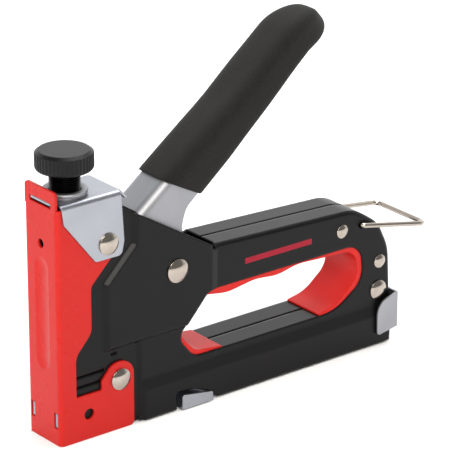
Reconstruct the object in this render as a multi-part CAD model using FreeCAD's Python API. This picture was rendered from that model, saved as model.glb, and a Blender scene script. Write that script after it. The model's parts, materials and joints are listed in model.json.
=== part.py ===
import FreeCAD, Part
import math
import os

# Hand staple gun with a squeeze lever, a steel nose and a magazine in its base. Millimetres.
# +X runs from the nose to the rear, +Z up, and Y = 0 is the mid-plane between the two stamped halves.
# The origin is the middle of the nose's front edge, on the face that is pressed on the work.

# overall sizes
BASE_LENGTH = 182.0
NOSE_HEIGHT = 108.0
HANDLE_TOP = 71.2
HANDLE_DROP = 3.1
GRIP_REACH = 125.5

# stamped halves
SHEET = 1.2
BASE_LIFT = 0.8
STRIP_HALF = 10.3
PLATEAU_HALF = 12.2
HANDLE_HALF = 11.3
LOWER_HALF = 11.5
BASE_HALF = 12.8
BASE_RAIL = 22.3
SHOULDER = 14.0
BEND = 1.8
SEAM_GAP = 0.9
PLATEAU_X = 23.5
PLATEAU_Z = 36.5
RIDGE_X = 41.0
HANDLE_X = 82.5
STEP_RUN = 3.5
LIP_RISE = 1.0
LIP_BACK = 1.8
NOTCH_START = 60.0
NOTCH_LENGTH = 22.6
NOTCH_HEIGHT = 8.0
CREASE_LOW = 23.6
CREASE_HIGH = 28.2

# finger opening
OPENING_FRONT = 62.0
OPENING_TOP = 51.0
OPENING_REAR_GAP = 16.2
LINER_HALF = 10.9

# nose cap
CAP_SHEET = 1.2
CAP_GAP = 0.1
CAP_BEND = 2.0
TONGUE_RISE = 5.65
TONGUE_HALF = 10.7
EAR_X = 31.2
EAR_Z = 22.9
EAR_R = 7.0
BEAD_HALF = 4.8
BEAD_LOW = 32.0
BEAD_DROP = 25.2
BEAD_DEPTH = 0.75
TAB_Z = 11.1
TAB_Y = 8.2
TAB_HEIGHT = 7.0

# top bracket and adjusting screw
BRACKET_SHEET = 1.0
BRACKET_REAR = 32.0
BRACKET_DEPTH = 28.5
LIP_HALF = 10.4
SCREW_X = 12.6
SCREW_R = 6.65
THREAD_PITCH = 1.0
THREAD_DEPTH = 0.5
COLLAR_WALL = 3.0
COLLAR_HEIGHT = 2.5
KNOB_R = 12.4
KNOB_HEIGHT = 9.6
KNOB_GAP = 7.1
FLUTES = 44

# rivets and pins
RIVET_SHANK = 2.5
BIG_HEAD_R = 4.8
BIG_HEAD_RISE = 2.0
PIVOT_X = 61.2
PIVOT_Z = 64.8
PIVOT_PIN_R = 3.5
PIVOT_HEAD_R = 5.3
FLAT_HEAD_R = 3.15
REAR_HEAD_R = 4.5
SPACER_WALL = 1.6
RUNNING = 0.05

# lever
LEVER_HALF = 9.8
LEVER_SHEET = 1.4
LEVER_BEND = 4.0
LEVER_ANGLE = 39.5
GRIP_HALF = 12.2
GRIP_ROUND = 5.8
ARM_LENGTH = 37.0
ARM_DROP = 21.5
ARM_HALF = 3.0
ARM_TIP_R = 3.0
ARM_PIN_R = 2.0

# plunger, blade and main spring
BLADE_THICK = 1.1
BLADE_HALF = 5.2
BLADE_PIN_R = 1.5
BLADE_PIN_LENGTH = 3.8
GUIDE_THICK = 0.9
PLUNGER_HALF = 7.9
PLUNGER_BOTTOM = 44.0
PLUNGER_HEIGHT = 16.0
SPRING_WIRE = 1.8
SPRING_R = 4.6
SPRING_TURNS = 8

# magazine
CHANNEL_INNER = 5.5
CHANNEL_SHEET = 1.0
CHANNEL_TOP = 16.5
RAIL_HALF = 4.0
RAIL_BOTTOM = 5.6
RAIL_HEIGHT = 8.0
RAIL_SHEET = 1.0
LATCH_HALF = 14.4
LATCH_SHEET = 1.0
PUSHER_LENGTH = 15.0
PUSHER_FRONT = 5.0

# wire bail
WIRE_R = 1.15
EYE_BEND = 1.3
CORNER_BEND = 3.2
BAIL_BACK = 17.8
BAIL_Z = 60.1
BAIL_LENGTH = 33.8
BAIL_SLOPE = 9.9
BAIL_SPREAD = 16.5

# sizes that follow from the ones above
CAP_HALF = STRIP_HALF + CAP_GAP + CAP_SHEET
STRIP_X = CAP_SHEET + max(CAP_BEND - CAP_SHEET, 0.3) + 0.2
BRACKET_HALF = CAP_HALF + BRACKET_SHEET
PLATE_TOP = NOSE_HEIGHT - 3.5
HANDLE_TOP_REAR = HANDLE_TOP - HANDLE_DROP
OPENING_REAR = BASE_LENGTH - OPENING_REAR_GAP
INNER_STRIP = STRIP_HALF - SHEET
INNER_HANDLE = HANDLE_HALF - SHEET
INNER_PLATEAU = PLATEAU_HALF - SHEET
CLAMP_X = 25.3
CLAMP_Z = NOSE_HEIGHT - 21.9
TIP_X = PIVOT_X - ARM_LENGTH * math.cos(math.radians(ARM_DROP))
TIP_Z = PIVOT_Z - ARM_LENGTH * math.sin(math.radians(ARM_DROP))
PLUNGER_TOP = PLUNGER_BOTTOM + PLUNGER_HEIGHT
POCKET_FLOOR = PLUNGER_BOTTOM + 2.5
SEAT_BOTTOM = NOSE_HEIGHT - 13.5
SEAT_THICK = 2.5
COLLAR_R = SCREW_R + COLLAR_WALL
COLLAR_TOP = NOSE_HEIGHT + COLLAR_HEIGHT
KNOB_BOTTOM = COLLAR_TOP + KNOB_GAP
BLADE_X = CAP_SHEET + GUIDE_THICK + 0.25
BAIL_X = BASE_LENGTH - BAIL_BACK
LATCH_REAR = BASE_LENGTH + 1.5
WEB_FRONT = (5.5, 33.9)
LEVER_END = GRIP_REACH - 12.0
WEB_REAR = (LEVER_END, 30.4)


def side(y=0.0):
    """Places a flat outline in the XZ plane at the given Y."""
    return lambda a, b: FreeCAD.Vector(a, y, b)


def across(x=0.0):
    """Places a flat outline in the YZ plane at the given X."""
    return lambda a, b: FreeCAD.Vector(x, a, b)


def level(z=0.0):
    """Places a flat outline in the XY plane at the given Z."""
    return lambda a, b: FreeCAD.Vector(a, b, z)


def rounded_wire(corners, place):
    """A closed wire through (a, b) or (a, b, radius) corners, with tangent arcs at the rounded ones."""
    count = len(corners)
    ends = []
    for i in range(count):
        here = place(corners[i][0], corners[i][1])
        radius = corners[i][2] if len(corners[i]) > 2 else 0.0
        if radius == 0.0:
            ends.append((here, None, here))
            continue
        before = place(*corners[i - 1][:2]) - here
        after = place(*corners[(i + 1) % count][:2]) - here
        half = before.getAngle(after) / 2
        reach = radius / math.tan(half)
        before.normalize()
        after.normalize()
        bisector = before + after
        bisector.normalize()
        middle = here + bisector * (radius / math.sin(half) - radius)
        ends.append((here + before * reach, middle, here + after * reach))
    edges = []
    for i in range(count):
        start, middle, end = ends[i]
        if middle is not None:
            edges.append(Part.Arc(start, middle, end).toShape())
        following = ends[(i + 1) % count][0]
        if end.distanceToPoint(following) > 1e-6:
            edges.append(Part.LineSegment(end, following).toShape())
    return Part.Wire(edges)


def prism(corners, place, depth):
    """The outline swept along the depth vector."""
    return Part.Face(rounded_wire(corners, place)).extrude(FreeCAD.Vector(*depth))


def slab(corners, low, high):
    """An XZ outline swept from Y = low to Y = high."""
    return prism(corners, side(low), (0, high - low, 0))


def cylinder(radius, start, end):
    """A round bar between two points."""
    first = FreeCAD.Vector(*start)
    run = FreeCAD.Vector(*end) - first
    return Part.makeCylinder(radius, run.Length, first, run)


def tube(outer, inner, start, end):
    """A round tube between two points."""
    return cylinder(outer, start, end).cut(cylinder(inner, start, end))


def block(low, high):
    """A box between two opposite corners."""
    size = [b - a for a, b in zip(low, high)]
    return Part.makeBox(*size, FreeCAD.Vector(*low))


def turned(profile, x, y=0.0):
    """A solid of revolution about the vertical axis at (x, y), from (radius, z) corners."""
    wire = rounded_wire(profile, lambda a, b: FreeCAD.Vector(x + a, y, b))
    return Part.Face(wire).revolve(FreeCAD.Vector(x, y, 0), FreeCAD.Vector(0, 0, 1), 360)


def dome(x, z, face_y, radius, rise, out):
    """A rivet head: a low spherical cap on a short rim, standing on the plane Y = face_y."""
    rim = rise * 0.3
    cap = rise - rim
    ball = (radius**2 + cap**2) / (2 * cap)
    base = face_y + out * rim
    centre = FreeCAD.Vector(x, base + out * (cap - ball), z)
    head = Part.makeSphere(ball, centre).common(
        cylinder(radius, (x, base, z), (x, base + out * (cap + 1), z))
    )
    return head.fuse(cylinder(radius, (x, face_y, z), (x, base, z))).removeSplitter()


def through_rivet(x, z, half, shank, head, rise):
    """A rivet through the whole body with a domed head on each side."""
    solid = cylinder(shank, (x, -half, z), (x, half, z))
    for out in (-1, 1):
        solid = solid.fuse(dome(x, z, out * half, head, rise, out))
    return solid.removeSplitter()


def both_sides(shape):
    """The shape and its mirror image across the mid-plane, kept as separate solids."""
    twin = shape.mirror(FreeCAD.Vector(0, 0, 0), FreeCAD.Vector(0, 1, 0))
    return Part.makeCompound([shape, twin])


def wire_rod(points, radius, bends):
    """A round wire along straight runs joined by tangent arcs, one bend radius for each inner point."""
    nodes = [FreeCAD.Vector(*p) for p in points]
    edges = []
    start = nodes[0]
    for i in range(1, len(nodes) - 1):
        before = nodes[i - 1] - nodes[i]
        after = nodes[i + 1] - nodes[i]
        half = before.getAngle(after) / 2
        bend = bends[i - 1]
        reach = bend / math.tan(half)
        before.normalize()
        after.normalize()
        bisector = before + after
        bisector.normalize()
        middle = nodes[i] + bisector * (bend / math.sin(half) - bend)
        first = nodes[i] + before * reach
        last = nodes[i] + after * reach
        edges.append(Part.LineSegment(start, first).toShape())
        edges.append(Part.Arc(first, middle, last).toShape())
        start = last
    edges.append(Part.LineSegment(start, nodes[-1]).toShape())
    circle = Part.Wire(Part.makeCircle(radius, nodes[0], nodes[1] - nodes[0]))
    return Part.Wire(edges).makePipeShell([circle], True, False)


def coil(radius, wire, pitch, turns, start, axis):
    """A round-wire helical spring from start along axis."""
    path = Part.makeHelix(pitch, pitch * turns, radius)
    section = Part.Wire(Part.makeCircle(wire, FreeCAD.Vector(radius, 0, 0), FreeCAD.Vector(0, 1, 0)))
    solid = Part.Wire(path).makePipeShell([section], True, True)
    solid.Placement = FreeCAD.Placement(
        FreeCAD.Vector(*start),
        FreeCAD.Rotation(FreeCAD.Vector(0, 0, 1), FreeCAD.Vector(*axis)),
    )
    return solid


def body_outline():
    """The outer edge of a stamped half, seen from the side."""
    return [
        (STRIP_X, BASE_LIFT),
        (STRIP_X, PLATE_TOP),
        (CLAMP_X + 0.7, PLATE_TOP),
        (HANDLE_X, HANDLE_TOP - LIP_RISE),
        (HANDLE_X, HANDLE_TOP),
        *rear_arch(),
        (BASE_LENGTH - 1.3, BASE_LIFT),
    ]


def rear_arch():
    """The handle's top from the rear end of its straight run down to the base, on both outlines."""
    return [
        (BASE_LENGTH - 21.1, HANDLE_TOP_REAR - 0.2, 20.0),
        (BASE_LENGTH - 7.3, HANDLE_TOP_REAR - 9.6, 18.0),
        (BASE_LENGTH - 1.1, HANDLE_TOP_REAR - 22.6, 22.0),
        (BASE_LENGTH, BASE_RAIL + 2.0),
    ]


def room_outline():
    """The body's inside with the sheet still on, open at the nose, the lever gap and the bottom."""
    past = 20.0
    return [
        (-past, -past),
        (-past, NOSE_HEIGHT + past),
        (HANDLE_X + LIP_BACK, NOSE_HEIGHT + past),
        (HANDLE_X + LIP_BACK, HANDLE_TOP),
        *rear_arch(),
        (BASE_LENGTH - 1.3, BASE_LIFT),
        (BASE_LENGTH - 1.3, -past),
    ]


def opening_outline():
    """The finger opening: a sloping front, a flat floor on the base rail and a round rear."""
    return [
        (OPENING_FRONT, 33.2, 5.0),
        (OPENING_FRONT + 8.4, BASE_RAIL, 8.0),
        (OPENING_REAR - 16.0, BASE_RAIL, 22.0),
        (OPENING_REAR, BASE_RAIL + 11.0, 11.0),
        (OPENING_REAR - 1.3, OPENING_TOP, 9.0),
        (OPENING_FRONT + 16.3, OPENING_TOP, 6.0),
    ]


def plateau_outline():
    """The raised front panel; it runs past the top edge and the opening, which trim it."""
    rear = HANDLE_X + 1.0 - STEP_RUN + PLATEAU_HALF - STRIP_HALF
    return [
        (PLATEAU_X, PLATEAU_Z),
        (PLATEAU_X, PLATE_TOP - 37.0),
        (PLATEAU_X + 15.3, PLATE_TOP - 21.7),
        (PLATEAU_X + 16.5, PLATE_TOP + 10.0),
        (rear, PLATE_TOP + 10.0),
        (rear, PLATEAU_Z),
    ]


def base_section(shrink):
    """Half of the base's cross-section; shrink takes the sheet off its top and side."""
    return [
        (0, BASE_LIFT - shrink * 5),
        (0, BASE_RAIL - shrink),
        (LOWER_HALF - 0.4 - shrink, BASE_RAIL - shrink, max(1.2 - shrink * 0.6, 0.3)),
        (LOWER_HALF - shrink, 19.3),
        (BASE_HALF - shrink, SHOULDER),
        (BASE_HALF - shrink, BASE_LIFT - shrink * 5),
    ]


def offset_slab(corners, step, depth):
    """An outline grown by step, or shrunk where step is negative, and swept from the mid-plane."""
    face = Part.Face(rounded_wire(corners, side()))
    return face.makeOffset2D(step, join=2).extrude(FreeCAD.Vector(0, depth, 0))


def raised_panel(shrink):
    """The plateau with its pressed sloping border; shrink is 0 outside and the sheet inside."""
    step = PLATEAU_HALF - STRIP_HALF
    panel = offset_slab(plateau_outline(), -shrink if shrink else 0.001, PLATEAU_HALF - shrink)
    outer = [e for e in panel.Edges if abs(e.BoundBox.YMin - (PLATEAU_HALF - shrink)) < 1e-4
             and e.BoundBox.YLength < 1e-4]
    return panel.makeChamfer(step, outer)


def step_down(shrink):
    """The gentle slope from the raised panel down to the side of the handle."""
    start = HANDLE_X + 1.0 - STEP_RUN
    corners = [
        (PLATEAU_X + 20.0, 0),
        (PLATEAU_X + 20.0, STRIP_HALF - shrink),
        (start - 0.5, PLATEAU_HALF - shrink),
        (start, PLATEAU_HALF - shrink),
        (start + STEP_RUN, HANDLE_HALF - shrink),
        (start + STEP_RUN, 0),
    ]
    return prism(corners, level(OPENING_TOP - 2.0), (0, 0, HANDLE_TOP - BEND - OPENING_TOP + 2.0))


def base_ramp(depth, start):
    """What is cut from the front of the base so that it swells out of the side strip at 45 degrees."""
    reach = BASE_HALF + 6.0
    corners = [(start - 10.0, depth), (start, depth), (start + reach - depth, reach), (start - 10.0, reach)]
    return prism(corners, level(-10.0), (0, 0, PLATEAU_Z + 20.0))


def handle_region(shrink):
    """The handle, the rear arch and their rolled outer edge."""
    depth = HANDLE_HALF - shrink
    region = offset_slab(body_outline(), -shrink if shrink else 0.001, depth)
    region = region.common(block((HANDLE_X, 0, 0), (BASE_LENGTH + 5, depth, HANDLE_TOP + 10)))
    rolled = [e for e in region.Edges if abs(e.BoundBox.YMin - depth) < 1e-4
              and e.BoundBox.YLength < 1e-4 and e.BoundBox.ZMin > BASE_RAIL
              and e.BoundBox.XMin > HANDLE_X - 0.5 and e.BoundBox.XLength > 0.05]
    return region.makeFillet(max(BEND - shrink, 0.4), rolled)


def half_outside():
    """The outer form of one half, from the seam outwards."""
    silhouette = slab(body_outline(), 0, BASE_HALF + 1)
    whole = slab(body_outline(), 0, STRIP_HALF)
    base = prism(base_section(0.0), across(RIDGE_X), (BASE_LENGTH - RIDGE_X, 0, 0))
    lower = block((RIDGE_X, 0, SHOULDER), (HANDLE_X, LOWER_HALF, PLATEAU_Z + 1))
    ramp = base_ramp(STRIP_HALF, RIDGE_X)
    parts = [raised_panel(0.0), step_down(0.0), handle_region(0.0), base.cut(ramp), lower.cut(ramp)]
    form = whole.multiFuse(parts).common(silhouette)
    return form.cut(slab(opening_outline(), -1, BASE_HALF + 2))


def half_inside():
    """The hollow of one half."""
    rail = offset_slab(opening_outline(), SHEET, BASE_HALF + 2)
    room = offset_slab(room_outline(), -SHEET, BASE_HALF + 2).cut(rail)
    strip = offset_slab(room_outline(), -SHEET, INNER_STRIP)
    base = prism(base_section(SHEET), across(RIDGE_X + SHEET), (BASE_LENGTH - RIDGE_X - 2 * SHEET, 0, 0))
    lower = block((RIDGE_X + SHEET, 0, SHOULDER), (HANDLE_X, LOWER_HALF - SHEET, PLATEAU_Z))
    ramp = base_ramp(INNER_STRIP, RIDGE_X + SHEET)
    parts = [raised_panel(SHEET), step_down(SHEET), handle_region(SHEET), base.cut(ramp), lower.cut(ramp)]
    return strip.multiFuse(parts).common(room)


def rivet_places():
    """Centres and shank radii of everything that passes through both halves."""
    return [
        (PIVOT_X, PIVOT_Z, PIVOT_PIN_R),
        (EAR_X, EAR_Z, RIVET_SHANK),
        (CLAMP_X, CLAMP_Z, RIVET_SHANK),
    ] + [(x, z, RIVET_SHANK) for x, z, _ in rear_rivets()]


def rear_rivets():
    """Centre and head radius of the rivets behind the finger opening."""
    return [
        (BASE_LENGTH - 28.9, HANDLE_TOP - 11.6, FLAT_HEAD_R),
        (BASE_LENGTH - 6.8, HANDLE_TOP - 31.2, FLAT_HEAD_R),
        (BASE_LENGTH - 7.4, BASE_RAIL + 4.1, REAR_HEAD_R),
    ]


def stamped_half():
    """One half of the body on the +Y side, with its holes, notch and creases."""
    half = half_outside().cut(half_inside())
    flange = block((RIDGE_X, CHANNEL_INNER + CHANNEL_SHEET + 0.2, BASE_LIFT),
                   (BASE_LENGTH - 1.5, BASE_HALF - SHEET + 0.1, BASE_LIFT + SHEET))
    half = half.fuse(flange).removeSplitter()
    deep = BASE_HALF + 5
    for x, z, radius in rivet_places():
        half = half.cut(cylinder(radius, (x, -1, z), (x, deep, z)))
    half = half.cut(cylinder(WIRE_R + 0.35, (BAIL_X, -1, BAIL_Z), (BAIL_X, deep, BAIL_Z)))
    end = NOTCH_START + NOTCH_LENGTH
    notch = [
        (NOTCH_START, -5),
        (NOTCH_START, BASE_LIFT + NOTCH_HEIGHT, 1.5),
        (NOTCH_START + NOTCH_LENGTH * 0.4, BASE_LIFT + NOTCH_HEIGHT - 0.6, 3.0),
        (end - 3.0, BASE_LIFT + 2.6, 1.0),
        (end, BASE_LIFT),
        (end, -5),
    ]
    half = half.cut(slab(notch, CHANNEL_INNER + CHANNEL_SHEET + 0.1, deep))
    for z in (CREASE_LOW, CREASE_HIGH):
        half = half.cut(block((8.0, STRIP_HALF - 0.8, z), (24.0, deep, z + 1.1)))
    slit = block((27.0, STRIP_HALF - 0.6, PLATEAU_Z - 2.2), (30.5, deep, PLATEAU_Z - 1.2))
    half = half.cut(slit)
    mouth_half = CHANNEL_INNER + CHANNEL_SHEET + 0.2
    mouth = block((BASE_LENGTH - 10, -1, -5), (BASE_LENGTH + 5, mouth_half, CHANNEL_TOP + 0.3))
    half = half.cut(mouth)
    seam = block((HANDLE_X - 5, -1, BASE_RAIL - 5), (BASE_LENGTH + 5, SEAM_GAP / 2, HANDLE_TOP + 5))
    return half.cut(seam)


def handle_liner():
    """Moulded strip under the handle that runs round the rear of the opening, with finger bumps."""
    free = [
        (OPENING_FRONT + 9.0, BASE_RAIL - 10),
        (OPENING_REAR - 25.5, BASE_RAIL - 10),
        (OPENING_REAR - 25.2, BASE_RAIL + 0.8),
        (OPENING_REAR - 15.6, BASE_RAIL + 2.6, 18.0),
        (OPENING_REAR - 3.0, BASE_RAIL + 12.4, 10.0),
        (OPENING_REAR - 4.0, OPENING_TOP - 2.2, 8.0),
        (OPENING_REAR - 20.0, OPENING_TOP - 1.6, 20.0),
        (128.0, OPENING_TOP - 0.6, 30.0),
        (117.0, OPENING_TOP - 3.0, 24.0),
        (104.5, OPENING_TOP - 1.6, 24.0),
        (89.0, OPENING_TOP - 3.9, 24.0),
        (OPENING_FRONT + 15.0, OPENING_TOP - 1.8),
        (OPENING_FRONT + 9.0, OPENING_TOP - 1.2),
    ]
    ring = slab(opening_outline(), -LINER_HALF, LINER_HALF).cut(slab(free, -20, 20))
    keep = block((OPENING_FRONT + 16.0, -20, OPENING_TOP - 8), (OPENING_REAR + 1, 20, OPENING_TOP + 1))
    keep = keep.fuse(block((OPENING_REAR - 25.2, -20, BASE_RAIL - 1), (OPENING_REAR + 1, 20, OPENING_TOP)))
    return largest(ring.common(keep))


def front_liner():
    """Moulded lip in the lower front corner of the opening."""
    free = [
        (OPENING_FRONT + 2.1, 60),
        (OPENING_FRONT + 2.1, 33.0, 6.0),
        (OPENING_FRONT + 9.6, BASE_RAIL + 2.2, 9.0),
        (OPENING_FRONT + 24.0, BASE_RAIL + 0.7),
        (OPENING_FRONT + 24.0, 60),
    ]
    lip = slab(opening_outline(), -LINER_HALF, LINER_HALF).cut(slab(free, -20, 20))
    keep = block((OPENING_FRONT - 2, -20, BASE_RAIL - 1), (OPENING_FRONT + 24.0, 20, 35.5))
    return largest(lip.common(keep))


def largest(shape):
    """The largest solid of a shape."""
    return max(shape.Solids, key=lambda s: s.Volume)


def cap_side_outline():
    """The side wall of the nose cap, with its ear, its cut-out and the part under the bracket."""
    foot = EAR_X + EAR_R
    return [
        (0, 0),
        (foot, 0, 2.5),
        (foot, EAR_Z + EAR_R + 1.0, 6.9),
        (EAR_X - 3.7, EAR_Z + EAR_R + 1.0, 7.5),
        (21.6, 24.2, 1.0),
        (21.6, 20.3, 0.6),
        (8.4, 20.3, 0.6),
        (8.4, 39.0, 7.0),
        (16.7, 48.0, 7.0),
        (16.7, CLAMP_Z - 17.5, 4.0),
        (CLAMP_X + 6.3, CLAMP_Z - 2.8, 1.5),
        (CLAMP_X + 6.3, CLAMP_Z + 6.0, 3.0),
        (CLAMP_X - 4.0, NOSE_HEIGHT - BRACKET_SHEET * 2.3, 1.0),
        (0, NOSE_HEIGHT - BRACKET_SHEET * 2.3),
    ]


def nose_cap():
    """The red sheet cap: a U round the nose with a tongue at its top and a pressed bead down its front."""
    cap = slab(cap_side_outline(), -CAP_HALF, CAP_HALF)
    fold = [e for e in cap.Edges if e.BoundBox.XMax < 1e-4 and e.BoundBox.ZLength > 50]
    cap = cap.makeFillet(CAP_BEND, fold)
    inside = slab([(CAP_SHEET, -5), (CAP_SHEET, NOSE_HEIGHT + 20), (80, NOSE_HEIGHT + 20), (80, -5)],
                  CAP_SHEET - CAP_HALF, CAP_HALF - CAP_SHEET)
    corner = [e for e in inside.Edges if e.BoundBox.XMax < CAP_SHEET + 1e-4 and e.BoundBox.ZLength > 50]
    cap = cap.cut(inside.makeFillet(CAP_BEND - CAP_SHEET, corner))
    top = NOSE_HEIGHT + TONGUE_RISE
    tongue = [(-TONGUE_HALF, NOSE_HEIGHT - 4), (-TONGUE_HALF, top, 2.0), (TONGUE_HALF, top, 2.0),
              (TONGUE_HALF, NOSE_HEIGHT - 4)]
    cap = cap.fuse(prism(tongue, across(0), (CAP_SHEET, 0, 0))).removeSplitter()
    slot = block((-1, -7.4, NOSE_HEIGHT - 2.2), (CAP_SHEET + 0.1, 7.4, NOSE_HEIGHT + 0.3))
    cap = cap.cut(slot)
    cap = cap.cut(cylinder(2.0, (-1, 0, NOSE_HEIGHT - 19.3), (CAP_SHEET + 0.1, 0, NOSE_HEIGHT - 19.3)))
    cap = cap.fuse(bead(BEAD_HALF - 0.5, CAP_SHEET, CAP_SHEET + BEAD_DEPTH))
    cap = cap.cut(bead_hollow())
    for y in (-TAB_Y, TAB_Y):
        cap = cap.cut(block((-1, y - 1.25, TAB_Z - TAB_HEIGHT / 2),
                            (CAP_SHEET + 0.1, y + 1.25, TAB_Z + TAB_HEIGHT / 2)))
    cap = cap.cut(cylinder(2.5, (14.8, -20, 11.3), (14.8, 20, 11.3)))
    for x, z in ((EAR_X, EAR_Z), (CLAMP_X, CLAMP_Z)):
        cap = cap.cut(cylinder(RIVET_SHANK, (x, -20, z), (x, 20, z)))
    return cap


def bead(half, back, front):
    """The long round-ended form of the bead on the nose, between two X planes."""
    low = BEAD_LOW + BEAD_HALF - half
    high = NOSE_HEIGHT - BEAD_DROP - BEAD_HALF + half
    outline = [(-half, low, half * 0.98), (-half, high, half * 0.98), (half, high, half * 0.98),
               (half, low, half * 0.98)]
    return prism(outline, across(back), (front - back, 0, 0))


def bead_hollow():
    """The shallow round-bottomed channel of the bead, with a round end at each end."""
    radius = (BEAD_HALF ** 2 + BEAD_DEPTH ** 2) / (2 * BEAD_DEPTH)
    low = BEAD_LOW + BEAD_HALF
    high = NOSE_HEIGHT - BEAD_DROP - BEAD_HALF
    x = BEAD_DEPTH - radius
    channel = cylinder(radius, (x, 0, low), (x, 0, high))
    for z in (low, high):
        channel = channel.fuse(Part.makeSphere(radius, FreeCAD.Vector(x, 0, z)))
    return channel


def front_guide_plate():
    """Steel plate behind the nose wall that the blade slides on, with two tabs through the wall."""
    plate = block((CAP_SHEET, -BLADE_HALF - 3.4, 0.6), (CAP_SHEET + GUIDE_THICK, BLADE_HALF + 3.4, 31.0))
    for y in (-TAB_Y, TAB_Y):
        tab = block((0.35, y - 0.65, TAB_Z - TAB_HEIGHT / 2 + 0.5),
                    (CAP_SHEET + GUIDE_THICK, y + 0.65, TAB_Z + TAB_HEIGHT / 2 - 0.5))
        plate = plate.fuse(tab)
    return plate.removeSplitter()


def top_bracket():
    """Zinc-plated saddle over the nose that carries the adjusting screw."""
    outline = [
        (CAP_SHEET + 0.7, NOSE_HEIGHT),
        (CAP_SHEET + 1.8, NOSE_HEIGHT - 8.5, 1.5),
        (18.7, NOSE_HEIGHT - BRACKET_DEPTH, 1.8),
        (BRACKET_REAR, NOSE_HEIGHT - BRACKET_DEPTH, 2.2),
        (BRACKET_REAR + 1.4, NOSE_HEIGHT - 22.2, 1.5),
        (BRACKET_REAR, NOSE_HEIGHT),
    ]
    saddle = slab(outline, -BRACKET_HALF, BRACKET_HALF)
    folds = [e for e in saddle.Edges if e.BoundBox.ZMin > NOSE_HEIGHT - 1e-3 and e.BoundBox.XLength > 10]
    saddle = saddle.makeFillet(BRACKET_SHEET * 2.2, folds)
    inside = block((-5, -CAP_HALF, 0), (80, CAP_HALF, NOSE_HEIGHT - BRACKET_SHEET))
    corners = [e for e in inside.Edges if e.BoundBox.ZMin > NOSE_HEIGHT - 2 and e.BoundBox.XLength > 10]
    saddle = saddle.cut(inside.makeFillet(BRACKET_SHEET * 1.2, corners))
    tab = block((0.2, -6.8, NOSE_HEIGHT - BRACKET_SHEET), (CAP_SHEET + 2, 6.8, NOSE_HEIGHT))
    lip = slab([
        (BRACKET_REAR - 1.0, NOSE_HEIGHT),
        (BRACKET_REAR + 0.8, NOSE_HEIGHT, 1.6),
        (BRACKET_REAR + 4.7, NOSE_HEIGHT - 4.2),
        (BRACKET_REAR + 4.0, NOSE_HEIGHT - 4.9),
        (BRACKET_REAR + 0.4, NOSE_HEIGHT - BRACKET_SHEET, 0.6),
        (BRACKET_REAR - 1.0, NOSE_HEIGHT - BRACKET_SHEET),
    ], -LIP_HALF, LIP_HALF)
    saddle = saddle.fuse(tab).fuse(lip).removeSplitter()
    saddle = saddle.cut(cylinder(COLLAR_R - 1.6, (SCREW_X, 0, 90), (SCREW_X, 0, NOSE_HEIGHT + 1)))
    return saddle.cut(cylinder(RIVET_SHANK, (CLAMP_X, -20, CLAMP_Z), (CLAMP_X, 20, CLAMP_Z)))


def collar_nut():
    """Turned nut pressed into the bracket, with a rolled lip above it."""
    bore = SCREW_R + RUNNING
    low = NOSE_HEIGHT - BRACKET_SHEET - 1.6
    profile = [
        (bore, low),
        (COLLAR_R - 1.6, low, 0.4),
        (COLLAR_R - 1.6, NOSE_HEIGHT),
        (COLLAR_R - 0.5, NOSE_HEIGHT),
        (COLLAR_R - 0.8, NOSE_HEIGHT + COLLAR_HEIGHT * 0.3, 0.2),
        (COLLAR_R, NOSE_HEIGHT + COLLAR_HEIGHT * 0.36, 0.4),
        (COLLAR_R, COLLAR_TOP - 0.1, 0.7),
        (COLLAR_R - 1.7, COLLAR_TOP, 0.5),
        (bore, COLLAR_TOP - 0.5, 0.3),
    ]
    return turned(profile, SCREW_X)


def adjusting_screw():
    """Threaded sleeve under the knob; its lower end bears on the spring seat."""
    low = SEAT_BOTTOM + SEAT_THICK
    ridges = int((KNOB_BOTTOM - low - 1.2) / THREAD_PITCH)
    profile = [(0, low), (SCREW_R - 1.2, low), (SCREW_R - THREAD_DEPTH, low + 0.6)]
    for i in range(ridges):
        z = low + 1.0 + i * THREAD_PITCH
        profile += [(SCREW_R - THREAD_DEPTH, z), (SCREW_R, z + THREAD_PITCH * 0.35),
                    (SCREW_R, z + THREAD_PITCH * 0.55), (SCREW_R - THREAD_DEPTH, z + THREAD_PITCH * 0.9)]
    top = KNOB_BOTTOM + KNOB_HEIGHT * 0.5
    profile += [(SCREW_R - THREAD_DEPTH, top), (0, top)]
    return turned(profile, SCREW_X)


def knob():
    """Moulded knob with a flat top, a broad chamfer and fine flutes round its side."""
    rim = KNOB_R - 0.3
    points = []
    for i in range(2 * FLUTES):
        angle = math.pi * i / FLUTES
        radius = KNOB_R if i % 2 == 0 else rim
        points.append((SCREW_X + radius * math.cos(angle), radius * math.sin(angle)))
    side_form = prism(points, level(KNOB_BOTTOM), (0, 0, KNOB_HEIGHT))
    top = KNOB_BOTTOM + KNOB_HEIGHT
    profile = [
        (0, KNOB_BOTTOM),
        (KNOB_R * 0.72, KNOB_BOTTOM, 0.5),
        (KNOB_R * 0.97, KNOB_BOTTOM + 1.4, 1.5),
        (KNOB_R + 0.5, KNOB_BOTTOM + 4.0, 1.0),
        (KNOB_R + 0.5, top - 1.6),
        (KNOB_R * 0.86, top, 0.6),
        (0, top),
    ]
    form = turned(profile, SCREW_X).common(side_form)
    return form.cut(cylinder(SCREW_R - THREAD_DEPTH, (SCREW_X, 0, KNOB_BOTTOM - 1),
                             (SCREW_X, 0, KNOB_BOTTOM + KNOB_HEIGHT * 0.5)))


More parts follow.
